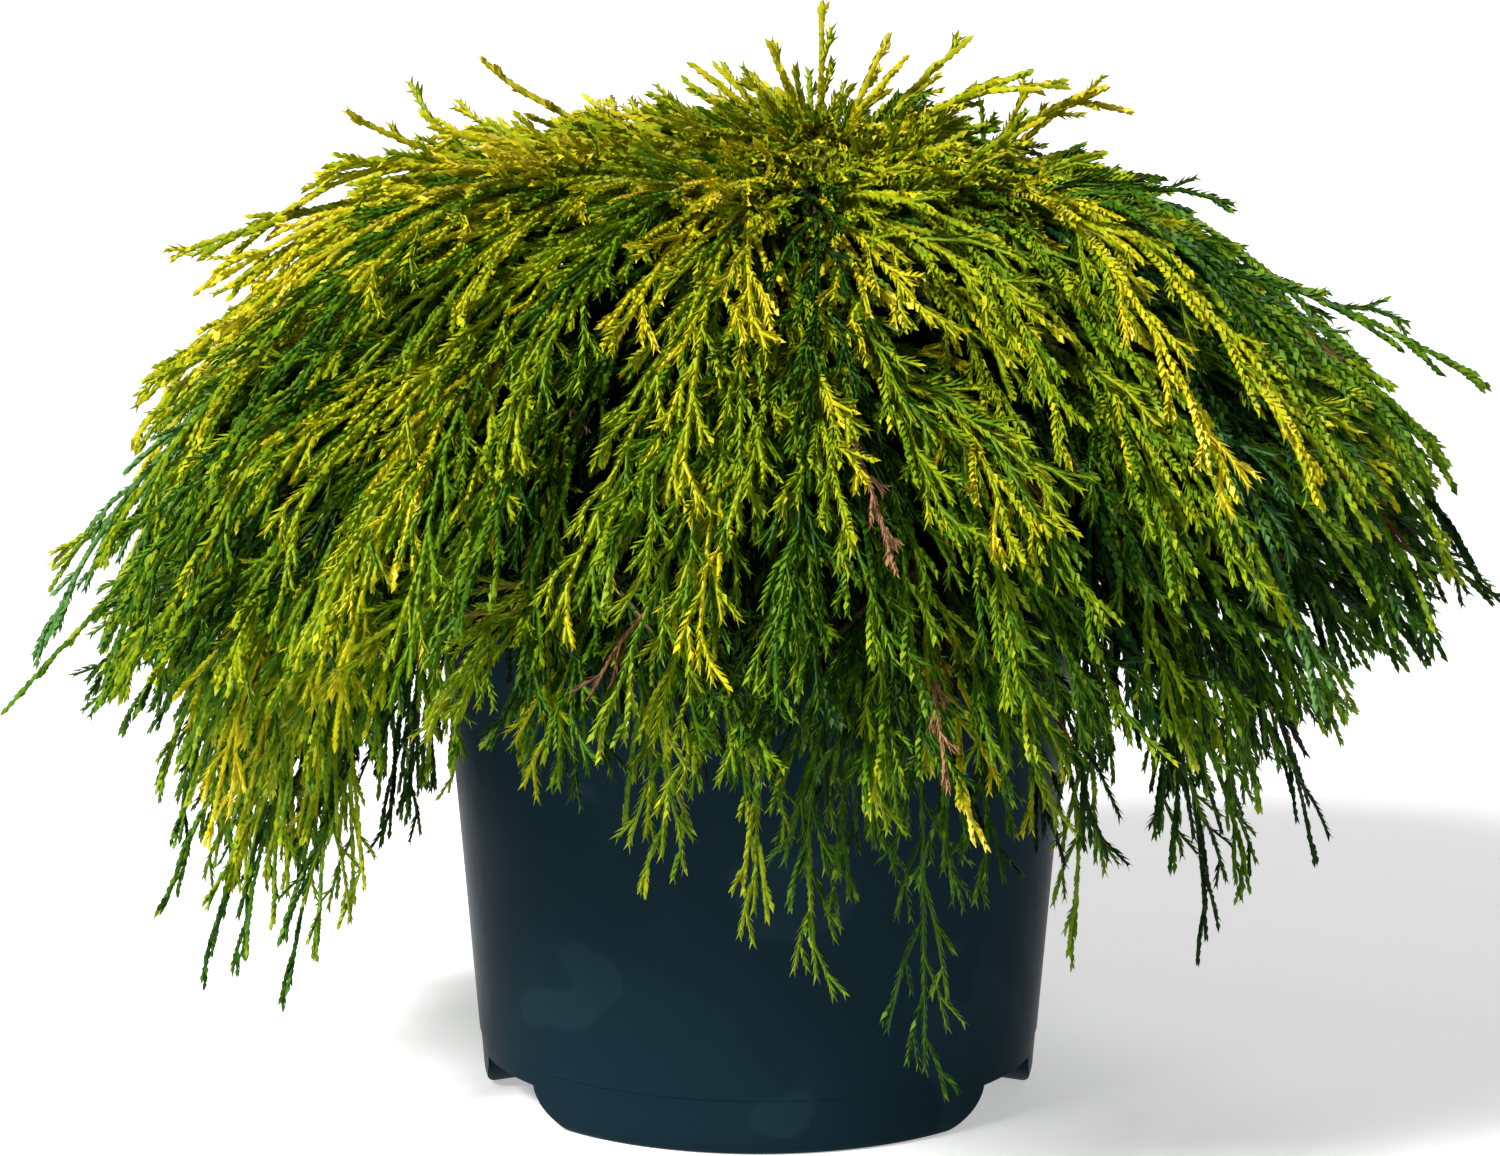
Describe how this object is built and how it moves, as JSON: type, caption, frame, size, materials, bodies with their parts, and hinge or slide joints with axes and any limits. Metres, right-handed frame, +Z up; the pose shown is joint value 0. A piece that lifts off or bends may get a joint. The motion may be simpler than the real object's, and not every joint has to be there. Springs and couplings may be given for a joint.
{
  "type": "potted threadleaf sawara cypress",
  "caption": "Weeping golden threadleaf cypress, a low mound of hanging thread-like shoots, standing in a round dark plastic nursery pot.",
  "frame": {"origin": "the centre of the pot's flat underside", "axes": "+Z up along the pot's axis, -Y towards the front of the plant as pictured, +X to the right"},
  "size_m": [0.5248, 0.5071, 0.386],
  "materials": {
    "pot_plastic": "satin",
    "soil": "matte",
    "bark": "matte",
    "foliage_tuft": "satin",
    "foliage_upper": "satin",
    "foliage_middle": "satin",
    "foliage_lower": "satin"
  },
  "bodies": {
    "root": {"pot": "pot_plastic", "soil": "soil", "trunk": "bark", "bough_upper_01": "bark", "bough_upper_02": "bark", "bough_upper_03": "bark", "bough_upper_04": "bark", "bough_upper_05": "bark", "bough_upper_06": "bark", "bough_middle_01": "bark", "bough_middle_02": "bark", "bough_middle_03": "bark", "bough_middle_04": "bark", "bough_middle_05": "bark", "bough_middle_06": "bark", "bough_middle_07": "bark", "bough_middle_08": "bark", "bough_lower_01": "bark", "bough_lower_02": "bark", "bough_lower_03": "bark", "bough_lower_04": "bark", "bough_lower_05": "bark", "bough_lower_06": "bark", "bough_lower_07": "bark", "bough_lower_08": "bark", "bough_lower_09": "bark", "bough_lower_10": "bark", "foliage_tuft": "foliage_tuft", "foliage_upper_01": "foliage_upper", "foliage_upper_02": "foliage_upper", "foliage_upper_03": "foliage_upper", "foliage_upper_04": "foliage_upper", "foliage_upper_05": "foliage_upper", "foliage_upper_06": "foliage_upper", "foliage_middle_01": "foliage_middle", "foliage_middle_02": "foliage_middle", "foliage_middle_03": "foliage_middle", "foliage_middle_04": "foliage_middle", "foliage_middle_05": "foliage_middle", "foliage_middle_06": "foliage_middle", "foliage_middle_07": "foliage_middle", "foliage_middle_08": "foliage_middle", "foliage_lower_01": "foliage_lower", "foliage_lower_02": "foliage_lower", "foliage_lower_03": "foliage_lower", "foliage_lower_04": "foliage_lower", "foliage_lower_05": "foliage_lower", "foliage_lower_06": "foliage_lower", "foliage_lower_07": "foliage_lower", "foliage_lower_08": "foliage_lower", "foliage_lower_09": "foliage_lower", "foliage_lower_10": "foliage_lower"}
  },
  "joints": []
}
